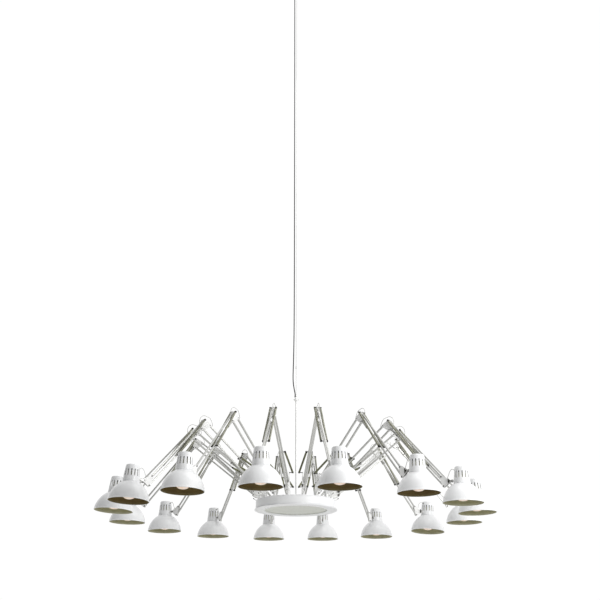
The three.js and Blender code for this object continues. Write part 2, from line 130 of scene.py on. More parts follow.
STEM_RADIUS = 3.6

# The shades whose inside takes the darker of two copies of one inside coat: painted shade, for the lamps
# whose inside lies deeper in shade.
SHADED_INSIDE = ("02", "03", "04", "05", "06")

# Turn of each arm's swivel and tilt of its shade, as the lamp was left, degrees.
HEAD_STANCE = [(0, 3), (0, 3), (20, 2), (40, 0), (20, 0), (10, 0), (0, -1), (0, 1),
               (0, 0), (0, -4), (0, -1), (0, 0), (0, 0), (0, 0), (0, -1), (0, 1)]

# centre
DRUM_LIP = 8                    # the lip beyond the drum's wall
CORD_DIAMETER = 7
CORD_STEPS = 6                  # points from one place on a cord's route to the next
WIRE_DIAMETER = 2
CABLE_RADIUS = 1.6


# ---------------------------------------------------------------- camera

EYE = Vector((0, -5.110, -4.919))
EYE_PITCH = 22.98               # degrees above the horizon
EYE_YAW = 0.285                 # degrees to the right
FOCAL = 48.86
FLOOR_HEIGHT = -6.4
FLOOR_REACH = 30                # from the lamp's axis to each edge of the floor


def make_camera():
    data = bpy.data.cameras.new("camera")
    data.lens = FOCAL
    data.sensor_width = 36
    camera = bpy.data.objects.new("camera", data)
    camera.location = EYE
    camera.rotation_euler = (math.radians(90 + EYE_PITCH), 0, math.radians(-EYE_YAW))
    bpy.context.scene.collection.objects.link(camera)
    bpy.context.scene.camera = camera


make_camera()

# ---------------------------------------------------------------- materials


def principled(name):
    material = bpy.data.materials.new(name)
    material.use_nodes = True
    return material, material.node_tree, material.node_tree.nodes["Principled BSDF"]


def noise(tree, scale, detail=3.0, stretch=(1, 1, 1)):
    """A noise field in the piece's own coordinates."""
    where = tree.nodes.new("ShaderNodeTexCoord")
    mapping = tree.nodes.new("ShaderNodeMapping")
    mapping.inputs["Scale"].default_value = stretch
    field = tree.nodes.new("ShaderNodeTexNoise")
    field.inputs["Scale"].default_value = scale
    field.inputs["Detail"].default_value = detail
    tree.links.new(where.outputs["Object"], mapping.inputs["Vector"])
    tree.links.new(mapping.outputs["Vector"], field.inputs["Vector"])
    return field.outputs["Fac"]


def ramp(tree, factor, low, high):
    """Blends two colours over the middle of a field's range."""
    node = tree.nodes.new("ShaderNodeValToRGB")
    node.color_ramp.elements[0].position = 0.3
    node.color_ramp.elements[1].position = 0.7
    node.color_ramp.elements[0].color = (*low, 1)
    node.color_ramp.elements[1].color = (*high, 1)
    tree.links.new(factor, node.inputs["Fac"])
    return node.outputs["Color"]


def spread(tree, factor, low, high):
    """Maps a field to a range of numbers."""
    node = tree.nodes.new("ShaderNodeMapRange")
    node.inputs["To Min"].default_value = low
    node.inputs["To Max"].default_value = high
    tree.links.new(factor, node.inputs["Value"])
    return node.outputs["Result"]


def bump(tree, shader, height, strength, distance):
    node = tree.nodes.new("ShaderNodeBump")
    node.inputs["Strength"].default_value = strength
    node.inputs["Distance"].default_value = distance
    tree.links.new(height, node.inputs["Height"])
    tree.links.new(node.outputs["Normal"], shader.inputs["Normal"])


MOTTLE = 14                     # scale of the slow changes of colour and gloss in paint
PEEL_DEPTH = 0.0004             # metres
COAT_ROUGHNESS = 0.12


def painted(name, low, high, roughness, grain=900, bumpiness=0.12, metallic=0.0, coat=0.0):
    """Sprayed paint: slow mottling, a fine orange-peel skin and uneven gloss."""
    material, tree, shader = principled(name)
    slow = noise(tree, MOTTLE)
    fine = noise(tree, grain, 2)
    tree.links.new(ramp(tree, slow, low, high), shader.inputs["Base Color"])
    gloss = spread(tree, slow, roughness - 0.05, roughness + 0.06)
    tree.links.new(gloss, shader.inputs["Roughness"])
    bump(tree, shader, fine, bumpiness, PEEL_DEPTH)
    shader.inputs["Metallic"].default_value = metallic
    shader.inputs["Coat Weight"].default_value = coat
    shader.inputs["Coat Roughness"].default_value = COAT_ROUGHNESS
    return material


def brushed(name, low, high, roughness, stretch):
    """Bare metal with fine drawn lines along one axis."""
    material, tree, shader = principled(name)
    lines = noise(tree, 260, 2, stretch)
    tree.links.new(ramp(tree, lines, low, high), shader.inputs["Base Color"])
    tree.links.new(spread(tree, lines, roughness - 0.08, roughness + 0.08), shader.inputs["Roughness"])
    bump(tree, shader, lines, 0.1, 0.0003)
    shader.inputs["Metallic"].default_value = 1.0
    return material


def painted_inside(name, deep_low, deep_high, mouth_low, mouth_high):
    """The shade's inside: painted shade, darker deeper in the hollow, and painted light, paler just above
    the mouth.
    """
    material, tree, shader = principled(name)
    slow = noise(tree, 18)
    deep = ramp(tree, slow, deep_low, deep_high)
    near = ramp(tree, slow, mouth_low, mouth_high)
    where = tree.nodes.new("ShaderNodeTexCoord")
    split = tree.nodes.new("ShaderNodeSeparateXYZ")
    depth = tree.nodes.new("ShaderNodeMapRange")
    depth.inputs["From Min"].default_value = SHADE_MOUTH_DROP * MM
    depth.inputs["From Max"].default_value = (SHADE_MOUTH_DROP + 14) * MM
    tree.links.new(where.outputs["Object"], split.inputs["Vector"])
    tree.links.new(split.outputs["Z"], depth.inputs["Value"])
    # Painted light and shade: the paler mouth colour at the mouth, the darker deep colour from 14 mm above
    # it.
    mix = tree.nodes.new("ShaderNodeMix")
    mix.data_type = "RGBA"
    tree.links.new(depth.outputs["Result"], mix.inputs["Factor"])
    tree.links.new(near, mix.inputs[6])
    tree.links.new(deep, mix.inputs[7])
    tree.links.new(mix.outputs[2], shader.inputs["Base Color"])
    tree.links.new(spread(tree, slow, 0.46, 0.58), shader.inputs["Roughness"])
    shader.inputs["Specular IOR Level"].default_value = 0.25
    bump(tree, shader, noise(tree, 500, 2), 0.15, PEEL_DEPTH)
    return material


def frosted_glass(name):
    material, tree, shader = principled(name)
    haze = noise(tree, 60)
    warm = ramp(tree, haze, (0.86, 0.64, 0.50), (0.93, 0.78, 0.66))
    tree.links.new(warm, shader.inputs["Base Color"])
    shader.inputs["Roughness"].default_value = 0.25
    shader.inputs["Subsurface Weight"].default_value = 0.25
    shader.inputs["Subsurface Radius"].default_value = (0.02, 0.012, 0.008)
    # Painted glow: a faint warm emission stands in for light on the bulb's frosted face; the lamp is not
    # lit.
    shader.inputs["Emission Color"].default_value = (1.0, 0.84, 0.68, 1)
    shader.inputs["Emission Strength"].default_value = 0.14
    return material


SHADE_WHITE = painted("shade_white", (0.80, 0.805, 0.81), (0.84, 0.845, 0.85), 0.30, 700, 0.08, coat=0.25)
# Two copies of one inside coat, a darker and a lighter: painted shade and painted light, not two paints.
INSIDE_SHADED = painted_inside("inside_shaded", (0.100, 0.062, 0.014), (0.140, 0.098, 0.026),
                              (0.15, 0.12, 0.05), (0.20, 0.17, 0.085))
INSIDE_LIT = painted_inside("inside_lit", (0.29, 0.275, 0.15), (0.36, 0.345, 0.21),
                              (0.48, 0.47, 0.33), (0.56, 0.55, 0.41))
# A lighter copy of the shades' white paint, standing in for light on the drum; the top plate and canopy take
# it too.
DRUM_WHITE_LIT = painted("drum_white_lit", (0.84, 0.845, 0.855), (0.88, 0.885, 0.89), 0.36, 600, 0.10)
ARM_GREY = painted("arm_grey", (0.50, 0.50, 0.48), (0.58, 0.58, 0.56), 0.34, 1200, 0.10, metallic=0.3)
PLATE_WHITE = painted("plate_white", (0.84, 0.84, 0.83), (0.90, 0.90, 0.89), 0.36, 900, 0.10)
DARK_METAL = painted("dark_metal", (0.035, 0.035, 0.03), (0.07, 0.065, 0.055), 0.40, 700, 0.2, metallic=0.7)
SPRING_STEEL = painted("spring_steel", (0.30, 0.30, 0.235), (0.42, 0.42, 0.345), 0.42, 800, 0.1,
                       metallic=0.45)
SPRING_OLIVE = painted("spring_olive", (0.16, 0.165, 0.095), (0.25, 0.255, 0.16), 0.42, 800, 0.1,
                       metallic=0.45)
FOOT_WHITE = painted("foot_white", (0.90, 0.90, 0.89), (0.95, 0.95, 0.94), 0.36, 900, 0.08)
COVER_GLOSS = painted("cover_gloss", (0.40, 0.425, 0.31), (0.44, 0.465, 0.35), 0.10, 300, 0.0, coat=0.7)
GREY_PLASTIC = painted("grey_plastic", (0.60, 0.60, 0.58), (0.68, 0.68, 0.66), 0.55, 1500, 0.25)
BLACK_RUBBER = painted("black_rubber", (0.012, 0.012, 0.012), (0.025, 0.025, 0.024), 0.55, 1800, 0.3)
HOLDER_CREAM = painted("holder_cream", (0.70, 0.70, 0.50), (0.78, 0.78, 0.60), 0.5, 500, 0.05)
PALE_CABLE = painted("pale_cable", (0.50, 0.50, 0.48), (0.60, 0.60, 0.58), 0.45, 1500, 0.2)
BRIGHT_STEEL = brushed("bright_steel", (0.50, 0.50, 0.48), (0.66, 0.66, 0.64), 0.34, (1, 1, 0.06))
ROD_SATIN = painted("rod_satin", (0.80, 0.80, 0.79), (0.85, 0.85, 0.84), 0.32, 400, 0.04, metallic=0.15)
BULB_GLASS = frosted_glass("bulb_glass")

# ---------------------------------------------------------------- mesh helpers


def polar(length, degrees):
    """A step in the arm's upright plane, as (x, z)."""
    angle = math.radians(degrees)
    return Vector((length * math.cos(angle), length * math.sin(angle)))


ROUND_STEP = 30                 # most degrees between the points of a rounded corner


class Piece:
    """One mesh under construction, in millimetres, with a material for each part of it."""

    def __init__(self, *materials):
        self.bm = bmesh.new()
        self.materials = list(materials)

    def face(self, verts, material=0):
        made = self.bm.faces.new(verts)
        made.material_index = material
        return made

    def grid(self, rings, material=0, caps=True):
        """Skins a list of closed rings that have the same number of points."""
        rows = [[self.bm.verts.new(point) for point in ring] for ring in rings]
        count = len(rows[0])
        for row, after in zip(rows, rows[1:]):
            for side in range(count):
                self.column(row, after, side, count, material)
        if caps:
            self.face(list(reversed(rows[0])), material)
            self.face(rows[-1], material)

    def column(self, row, after, side, count, material=0):
        """One face between two rings; a ring of one vertex is a point on the axis."""
        nxt = (side + 1) % count
        corners = [row[side % len(row)], row[nxt % len(row)],
                   after[nxt % len(after)], after[side % len(after)]]
        unique = list(dict.fromkeys(corners))
        if len(unique) > 2:
            self.face(unique, material)

    def lathe(self, profile, sides=48, centre=(0, 0), material=0):
        """Turns (radius, z) points about an upright axis; a radius of 0 closes the end."""
        cx, cy = centre
        turns = [2 * math.pi * side / sides for side in range(sides)]
        rows = []
        for radius, height in profile:
            ring = [(cx, cy, height)]
            if radius:
                ring = [(cx + radius * math.cos(turn), cy + radius * math.sin(turn), height)
                        for turn in turns]
            rows.append([self.bm.verts.new(point) for point in ring])
        for row, after in zip(rows, rows[1:]):
            for side in range(sides):
                self.column(row, after, side, sides, material)

    def solid(self, outline, low, high, bevel=0.8, material=0, place=None):
        """Extrudes an outline of (x, y) points between two heights, with its edges eased."""
        chamfered = ((low, -bevel), (low + bevel, 0), (high - bevel, 0), (high, -bevel))
        place = place or (lambda x, y, h: (x, y, h))
        rings = [[place(x, y, height) for x, y in inset(outline, -grow)] for height, grow in chamfered]
        self.grid(rings, material)

    def plate(self, corners, edge, low, high, material=0, bevel=0.4):
        """A round-cornered plate in the arm's upright plane, from y = low to y = high."""
        self.solid(rounded(corners, edge), low, high, bevel, material, lambda x, z, y: (x, -y, z))

    def bar(self, start, end, width, material=0, bevel=1.2):
        """A square bar between two pivots in the arm's upright plane."""
        along = (end - start).normalized()
        across = Vector((-along.y, along.x))
        half = width / 2
        a, b = start - along * half, end + along * half
        corners = [a - across * half, b - across * half, b + across * half, a + across * half]
        self.solid(corners, -half, half, bevel, material, lambda x, z, y: (x, -y, z))

    def pin(self, centre, radius, low, high, material=0, sides=20, bevel=0.6):
        """A round pin across the arm's upright plane."""
        ring = [centre + polar(radius, 360 * side / sides) for side in range(sides)]
        self.solid(ring, low, high, bevel, material, lambda x, z, y: (x, -y, z))

    def bolt(self, centre, radius, faces, head=2.2, material=0):
        """A pin through the arm with a hexagon head on each side, outside the given faces."""
        self.pin(centre, radius * 0.55, -faces, faces, material, 12)
        for side in (-1, 1):
            low, high = sorted((side * faces, side * (faces + head)))
            self.pin(centre, radius, low, high, material, 6, 0.4)
            tip_low, tip_high = sorted((side * (faces + head), side * (faces + head + 0.8)))
            self.pin(centre, radius * 0.6, tip_low, tip_high, material, 12, 0.3)

    def spring_pin(self, centre, spread, material):
        """A cross pin with a grooved barrel for each of the two springs it carries."""
        self.pin(centre, SPRING_PIN, -spread - 6, spread + 6, material, 12)
        for side in (-1, 1):
            for start, end in ((-5.5, -1.2), (1.2, 5.5)):
                low, high = sorted((side * (spread + start), side * (spread + end)))
                self.pin(centre, PIN_BARREL, low, high, material, 16)

    def tube(self, path, radius, sides=10, material=0, caps=True):
        """Sweeps a circle along a list of points."""
        points = [Vector(point) for point in path]
        rings = []
        normal = None
        for index, point in enumerate(points):
            before, after = points[max(index - 1, 0)], points[min(index + 1, len(points) - 1)]
            tangent = (after - before).normalized()
            if normal is None:
                helper = Vector((0, 0, 1)) if abs(tangent.z) < 0.9 else Vector((1, 0, 0))
                normal = tangent.cross(helper).normalized()
            else:
                normal = (normal - tangent * normal.dot(tangent)).normalized()
            side_way = tangent.cross(normal)
            rings.append([point + (normal * math.cos(turn) + side_way * math.sin(turn)) * radius
                          for turn in (2 * math.pi * step / sides for step in range(sides))])
        self.grid(rings, material, caps)

    def mesh(self, name, smooth=40):
        bm = self.bm
        bmesh.ops.recalc_face_normals(bm, faces=bm.faces)
        bmesh.ops.scale(bm, vec=(MM, MM, MM), verts=bm.verts)
        data = bpy.data.meshes.new(name)
        bm.to_mesh(data)
        bm.free()
        for material in self.materials:
            data.materials.append(material)
        data.polygons.foreach_set("use_smooth", [True] * len(data.polygons))
        data.set_sharp_from_angle(angle=math.radians(smooth))
        return data


def inset(outline, distance):
    """Moves each edge of a counter-clockwise outline inward by a distance."""
    if not distance:
        return list(outline)
    points = []
    count = len(outline)
    for index in range(count):
        before, here, after = (Vector(outline[(index + step) % count]) for step in (-1, 0, 1))
        into, away = (here - before).normalized(), (after - here).normalized()
        normals = Vector((-into.y, into.x)) + Vector((-away.y, away.x))
        reach = distance * 2 / max(normals.length_squared, 0.4)
        points.append(here + normals * reach)
    return points


def rounded(corners, edge):
    """Outline at a distance round counter-clockwise corners, rounded where it turns outward."""
    points = []
    count = len(corners)
    for index in range(count):
        before, here, after = (Vector(corners[(index + turn) % count]) for turn in (-1, 0, 1))
        into, away = here - before, after - here
        start = math.degrees(math.atan2(into.y, into.x)) - 90
        turn = (math.degrees(math.atan2(away.y, away.x)) - 90 - start) % 360
        if turn > 180.001:
            middle = start + (turn - 360) / 2
            points.append(here + polar(edge / math.cos(math.radians((turn - 360) / 2)), middle))
            continue
        steps = max(1, math.ceil(turn / ROUND_STEP))
        points += [here + polar(edge, start + turn * k / steps) for k in range(steps + 1)]
    return points


def smooth_path(points, steps):
    """A Catmull-Rom curve through points, with several steps between each two."""
    anchors = [Vector(point) for point in points]
    anchors = [anchors[0] * 2 - anchors[1], *anchors, anchors[-1] * 2 - anchors[-2]]
    path = []
    for index in range(1, len(anchors) - 2):
        a, b, c, d = anchors[index - 1:index + 3]
        for step in range(steps):
            t = step / steps
            path.append(0.5 * (2 * b + (c - a) * t + (2 * a - 5 * b + 4 * c - d) * t * t
                               + (3 * b - a - 3 * c + d) * t ** 3))
    path.append(anchors[-2])
    return path


def coil(start, end, radius, pitch):
    """Points of a close-wound spring between two points, with a hooked eye at each end."""
    start, end = Vector(start), Vector(end)
    axis = (end - start).normalized()
    side = axis.cross(Vector((0, 1, 0))).normalized()
    up = axis.cross(side)
    length = (end - start).length - 2 * SPRING_EYE
    turns = round(length / pitch)
    path = [start + side * radius * 0.2]
    count = turns * SPRING_STEPS
    for index in range(count + 1):
        turn = 2 * math.pi * index / SPRING_STEPS
        centre = start + axis * (SPRING_EYE + length * index / count)
        path.append(centre + (side * math.cos(turn) + up * math.sin(turn)) * radius)
    path.append(end + side * radius * 0.2)
    return path


def put(name, data, body, place=None):
    """Links a mesh as one piece that rides on a body of the frame."""
    piece = bpy.data.objects.new(name, data)
    bpy.context.scene.collection.objects.link(piece)
    if place is not None:
        piece.matrix_world = place
    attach(piece, body)
    return piece


# ---------------------------------------------------------------- one arm's pivots

joints = {joint["name"]: joint for joint in frame["joints"]}


def arm_place(label):
    """The arm's local frame, from its shoulder joint."""
    joint = joints[f"shoulder_{label}"]
    across = -Vector(joint["axis"])
    outward = across.cross(Vector((0, 0, 1)))
    turned = Matrix((outward, across, Vector((0, 0, 1)))).transposed().to_4x4()
    return Matrix.Translation(Vector(joint["pos_m"])) @ turned


def in_arm(label, point):
    """A point of the frame in the arm's upright plane, in millimetres."""
    local = arm_place(label).inverted() @ Vector(point)
    return Vector((local.x, local.z)) / MM


SHOULDER = Vector((0, 0))
LOWER_STEP = polar(LOWER_GAP, LOWER_GAP_ANGLE)
UPPER_STEP = polar(UPPER_GAP, UPPER_GAP_ANGLE)
SHOULDER_INNER = SHOULDER + LOWER_STEP
ELBOW = in_arm("01", joints["elbow_01"]["pos_m"])
HEAD = in_arm("01", joints["shade_tilt_01"]["pos_m"])
ELBOW_OUTER = ELBOW - Vector((0, ELBOW_RISE))
ELBOW_INNER = ELBOW_OUTER + LOWER_STEP
ELBOW_LOW = ELBOW + UPPER_STEP
HEAD_TOP = HEAD - polar(HEAD_REACH, HEAD_ANGLE)
HEAD_LOW = HEAD_TOP + UPPER_STEP
CABLE_LANDING = ELBOW + polar(CABLE_LANDING_OUT, UPPER_ANGLE)
CABLE_EXIT = Vector((-9, 7))    # where the lamp cable leaves the head's plates, from the head pin
LOWER_PIN = SHOULDER_INNER + polar(LOWER_SPRING_FOOT, LOWER_ANGLE)
UPPER_PIN = ELBOW_LOW + polar(UPPER_SPRING_FOOT, UPPER_ANGLE)
BAR_LOW_START = ELBOW_LOW + polar(BAR_START, UPPER_ANGLE)


def at(point, y):
    """A point of the arm's upright plane at a distance across it."""
    return Vector((point.x, y, point.y))


# ---------------------------------------------------------------- arm pieces


# Places in a piece's list of materials: an arm's first two, then all of a shade's. The third
# is dark metal in both.
BARS, PLATES = range(2)
PAINT, INSIDE, DARK, WHITE, STEEL, CREAM = range(6)


def lower_arm_mesh():
    """Two square bars, the elbow's pair of plates and the shoulder knob."""
    piece = Piece(ARM_GREY, PLATE_WHITE, DARK_METAL)
    piece.bar(SHOULDER, ELBOW_OUTER, BAR_LOWER)
    piece.bar(SHOULDER_INNER, ELBOW_INNER, BAR_LOWER)
    inner, outer = ELBOW_PLATE
    corners = [ELBOW_OUTER, ELBOW_LOW, ELBOW, ELBOW_INNER]
    for low, high in ((inner, outer), (-outer, -inner)):
        piece.plate(corners, PLATE_EDGE, low, high, PLATES)
    for pivot in (ELBOW_OUTER, ELBOW_INNER):
        piece.pin(pivot, 3.4, -outer - 0.3, outer + 0.3, DARK, 16, 0.2)
    piece.spring_pin(LOWER_PIN, LOWER_SPRING_SPREAD, DARK)
    knob_from = FORK_FACES[1] + 0.6
    piece.pin(SHOULDER, 2.6, -FORK_FACES[1] - 2, knob_from + 1, DARK, 12)
    piece.pin(SHOULDER, KNOB_RADIUS, knob_from, knob_from + KNOB_LENGTH, DARK, 18, 1.4)
    return piece.mesh("lower_arm")


def upper_arm_mesh():
    """Two square bars, the elbow links, the head's pair of plates and its bolts."""
    piece = Piece(ARM_GREY, PLATE_WHITE, DARK_METAL)
    piece.bar(ELBOW, HEAD_TOP, BAR_UPPER)
    piece.bar(BAR_LOW_START, HEAD_LOW, BAR_UPPER)
    inner, outer = LINK_PLATE
    for low, high in ((inner, outer), (-outer, -inner)):
        piece.plate([ELBOW, ELBOW_LOW], 5.5, low, high, PLATES)
        piece.plate([ELBOW_LOW, BAR_LOW_START + polar(8, UPPER_ANGLE)], 4.6, low, high, BARS)
    piece.bolt(ELBOW, BOLT_RADIUS, outer, 2.4, DARK)
    piece.bolt(BAR_LOW_START, 3.4, outer, 1.6, DARK)
    for side in (-1, 1):
        low, high = sorted((side * inner, side * (outer + 1.8)))
        piece.pin(ELBOW_LOW, 3.6, low, high, DARK, 6, 0.4)
    inner, outer = HEAD_PLATE
    for low, high in ((inner, outer), (-outer, -inner)):
        piece.plate([HEAD_LOW, HEAD, HEAD_TOP], PLATE_EDGE, low, high, PLATES)
    # The web between the head plates is dark metal: painted shade along the plates' lower edge.
    along = (HEAD - HEAD_LOW).normalized()
    web_side = Vector((along.y, -along.x)) * 5.5
    web = [HEAD_LOW + web_side + along * 6, HEAD + web_side - along * 7]
    piece.plate(web, 1.4, -inner, inner, DARK, 0.2)
    for pivot in (HEAD_TOP, HEAD_LOW):
        piece.bolt(pivot, BOLT_RADIUS, outer, 1.8, DARK)
    for pivot in (ELBOW, UPPER_PIN):
        piece.spring_pin(pivot, UPPER_SPRING_SPREAD, DARK)
    return piece.mesh("upper_arm")


def spring_pair_mesh(name, start, end, start_spread, end_spread, steel):
    """The two close-wound springs beside an arm."""
    piece = Piece(steel)
    for side in (-1, 1):
        path = coil(at(start, side * start_spread), at(end, side * end_spread),
                    SPRING_RADIUS - SPRING_WIRE, SPRING_PITCH)
        piece.tube(path, SPRING_WIRE, 5)
    return piece.mesh(name, 70)


def cable_mesh(name, points):
    piece = Piece(PALE_CABLE)
    piece.tube(smooth_path(points, CORD_STEPS), CABLE_RADIUS, 8)
    return piece.mesh(name, 70)


def elbow_cable_mesh():
    """The lamp cable, looping over the elbow from a lower bar to an upper bar."""
    start = ELBOW_INNER - polar(14, LOWER_ANGLE)
    points = [at(start, 3), at(start + Vector((-6, 14)), 4), at(ELBOW_INNER + Vector((0, 40)), 5),
              at(ELBOW + Vector((-18, 24)), 5), at(ELBOW + Vector((4, 27)), 5),
              at(ELBOW + Vector((24, 12)), 4), at(CABLE_LANDING + Vector((7, 8)), 3),
              at(CABLE_LANDING, 2)]
    return cable_mesh("elbow_cable", points)


def swivelled(turn, tilt):
    """How a shade stands about its head pin, in millimetres: turned on its swivel, then tilted."""
    swivel = Matrix.Translation((SWIVEL_OUT, 0, 0))
    turned = swivel @ Matrix.Rotation(math.radians(turn), 4, "Z") @ swivel.inverted()
    return Matrix.Rotation(-math.radians(tilt), 4, "Y") @ turned


def neck_bush(turn, tilt, out=0.0):
    """Where the lamp cable meets the neck's bush, or a little outside it, in the arm's frame."""
    return at(HEAD, 0) + swivelled(turn, tilt) @ Vector((NECK_BUSH[0] - out, 0, NECK_BUSH[1]))


def head_cable_mesh(turn, tilt):
    """The lamp cable's slack between the head and the shade's neck."""
    points = [at(HEAD + CABLE_EXIT, 0), at(HEAD + CABLE_EXIT + Vector((-2, 12)), 2),
              at(HEAD + Vector((-4, 38)), 4), at(HEAD + Vector((4, 54)), 4),
              neck_bush(turn, tilt, 18) + Vector((0, 0, 7)), neck_bush(turn, tilt)]
    return cable_mesh("head_cable", points)


# ---------------------------------------------------------------- shade


def dome(radius, neck_radius):
    """One wall of the dome from mouth to neck, as (radius, z)."""
    centre = Vector((SHADE_RADIUS - DOME_ARC_RADIUS * math.cos(math.radians(DOME_LEAN)),
                     -DOME_ARC_RADIUS * math.sin(math.radians(DOME_LEAN))))
    start = math.asin(-centre.y / radius)
    end = math.acos((neck_radius - centre.x) / radius)
    turns = [start + (end - start) * step / DOME_STEPS for step in range(DOME_STEPS + 1)]
    return [(centre.x + radius * math.cos(turn), centre.y + radius * math.sin(turn)) for turn in turns]


def slot_turns():
    """Angles of the shade's columns: the first two of every four edge a slot."""
    half = SLOT_WIDTH / 2 / ((NECK_BASE_RADIUS + NECK_TOP_RADIUS) / 2)
    pitch = 2 * math.pi / SLOTS
    solid = pitch - 2 * half
    turns = []
    for index in range(SLOTS):
        centre = pitch * (index + 0.5)
        turns += [centre - half, centre + half, centre + half + solid / 3, centre + half + 2 * solid / 3]
    return turns


def shade_mesh(turn, coat):
    """Dome, slotted neck and rolled rim, with the lampholder inside and the stem and clamp."""
    piece = Piece(SHADE_WHITE, coat, DARK_METAL, PLATE_WHITE, BRIGHT_STEEL, HOLDER_CREAM)
    outer = dome(DOME_ARC_RADIUS, NECK_BASE_RADIUS)
    inner = dome(DOME_ARC_RADIUS - SHADE_WALL, NECK_BASE_RADIUS - SHADE_WALL)
    base = outer[-1][1]
    top = base + NECK_HEIGHT
    slot_top = top - SLOT_BELOW_TOP
    slot_low = slot_top - SLOT_LENGTH
    taper = (NECK_BASE_RADIUS - NECK_TOP_RADIUS) / NECK_HEIGHT

    def neck(height, wall=0.0):
        return (NECK_BASE_RADIUS - taper * (height - base) - wall, height)

    edge = [(NECK_TOP_RADIUS - NECK_EDGE + NECK_EDGE * math.cos(math.radians(turn)),
             top - NECK_EDGE + NECK_EDGE * math.sin(math.radians(turn))) for turn in range(15, 91, 15)]
    bead = [(SHADE_RADIUS - SHADE_WALL / 2 + RIM_BEAD * math.cos(math.radians(turn)),
             RIM_BEAD * math.sin(math.radians(turn))) for turn in range(-120, 61, 30)]
    neck_low = [(NECK_BASE_RADIUS + 0.2, base + 0.4), (NECK_BASE_RADIUS - SEAM - 0.4, base + 0.7),
                (NECK_BASE_RADIUS - SEAM - 0.4, base + 1.6), neck(base + 2.4, 0.1)]
    outside = [*bead, *outer[1:], *neck_low, neck(base + 12), neck(slot_low), neck(slot_top),
               neck(top - NECK_EDGE), *edge, (CROWN_RING, top)]
    inside = [(CROWN_RING, top - SHADE_WALL), (NECK_TOP_RADIUS - NECK_EDGE, top - SHADE_WALL),
              neck(top - NECK_EDGE, SHADE_WALL), neck(slot_top, SHADE_WALL), neck(slot_low, SHADE_WALL),
              *reversed(inner)]
    rings = [*outside, (0, top), (0, top - SHADE_WALL), *inside]
    turns = slot_turns()
    rows = []
    for radius, height in rings:
        if radius:
            rows.append([piece.bm.verts.new((radius * math.cos(turn), radius * math.sin(turn), height))
                         for turn in turns])
        else:
            rows.append([piece.bm.verts.new((0, 0, height))])
    outer_slot = outside.index(neck(slot_low))
    inner_slot = len(outside) + 2 + inside.index(neck(slot_top, SHADE_WALL))
    first_inside = len(outside) + 1
    count = len(turns)
    rows.append(rows[0])
    for index, (row, after) in enumerate(zip(rows, rows[1:])):
        for side in range(count):
            if side % 4 == 0 and index in (outer_slot, inner_slot):
                continue
            piece.column(row, after, side, count, INSIDE if index >= first_inside else PAINT)
    for side in range(0, count, 4):
        loop_out = [rows[outer_slot][side], rows[outer_slot][side + 1],
                    rows[outer_slot + 1][side + 1], rows[outer_slot + 1][side]]
        loop_in = [rows[inner_slot + 1][side], rows[inner_slot + 1][side + 1],
                   rows[inner_slot][side + 1], rows[inner_slot][side]]
        for k in range(4):
            nxt = (k + 1) % 4
            piece.face((loop_out[k], loop_out[nxt], loop_in[nxt], loop_in[k]), PAINT)
    bmesh.ops.translate(piece.bm, verts=piece.bm.verts, vec=(SHADE_AXIS_OUT, 0, SHADE_MOUTH_DROP))
    shade_stem(piece, neck(-SHADE_MOUTH_DROP)[0])
    lampholder(piece, top)
    bmesh.ops.transform(piece.bm, matrix=swivelled(turn, 0), verts=piece.bm.verts)
    head_clamp(piece)
    return piece.mesh("shade", 38)


def shade_stem(piece, neck_radius):
    """The steel rod from the swivel to the neck, its collar, and the bush where the cable enters."""
    wall = SHADE_AXIS_OUT - neck_radius
    rod = [(SWIVEL_OUT, 0, 0), (wall - 5, 0, 0), (wall + 2, 0, 0)]
    piece.tube(rod, STEM_RADIUS, 16, STEEL)
    collar = [(wall - 6, 0, 0), (wall + 1.2, 0, 0)]
    piece.tube(collar, 7, 20, WHITE)
    bush = Vector((NECK_BUSH[0], 0, NECK_BUSH[1]))
    piece.tube([bush + Vector((-5, 0, 0)), bush + Vector((4, 0, 0))], 3.4, 14, DARK)


def head_clamp(piece):
    """The steel fork on the head pin with its upright swivel, and the wing nut on the pin."""
    origin = Vector((0, 0))
    ear_low, ear_high = HEAD_PLATE[1] + 0.6, HEAD_PLATE[1] + 3.0
    for low, high in ((ear_low, ear_high), (-ear_high, -ear_low)):
        piece.plate([origin, Vector((17, 0))], 4.4, low, high, STEEL)
    root_start, root_end = SWIVEL_OUT - 2, SWIVEL_OUT + 2
    root = [(root_start, -ear_high), (root_end, -ear_high), (root_end, ear_high), (root_start, ear_high)]
    piece.solid(root, -4, 4, 0.8, STEEL)
    piece.lathe([(0, -8), (4.2, -8), (5, -7), (5, 7), (4.2, 8), (0, 8)], 20, (SWIVEL_OUT, 0), STEEL)
    piece.pin(origin, 3.2, -ear_high - 2, ear_high + 6, DARK, 14)
    wing = [(-3, 12), (-4, 3), (-4, -3), (-3, -12), (3, -3), (3, 3)]
    piece.plate([Vector(corner) for corner in wing], 1.6, ear_high + 2, ear_high + 5, DARK)


def lampholder(piece, top):
    """The pale holder that carries the bulb inside the neck, and its cap in dark metal, painted shade at the
    top of the neck.
    """
    low = top - HOLDER_LENGTH
    shoulder = top - SLOT_BELOW_TOP - 7
    holder = [(0, low), (17, low), (19, low + 2), (19, low + 24), (29, low + 30), (29, shoulder - 2),
              (27, shoulder), (0, shoulder)]
    # The cap's dark metal is painted shade: it shows through the tops of the neck's slots.
    cap = [(0, shoulder + 0.5), (21, shoulder + 0.5), (21, top - 12), (18, top - 3), (0, top - 3)]
    for profile, material in ((holder, CREAM), (cap, DARK)):
        lifted = [(radius, height + SHADE_MOUTH_DROP) for radius, height in profile]
        piece.lathe(lifted, 32, (SHADE_AXIS_OUT, 0), material)


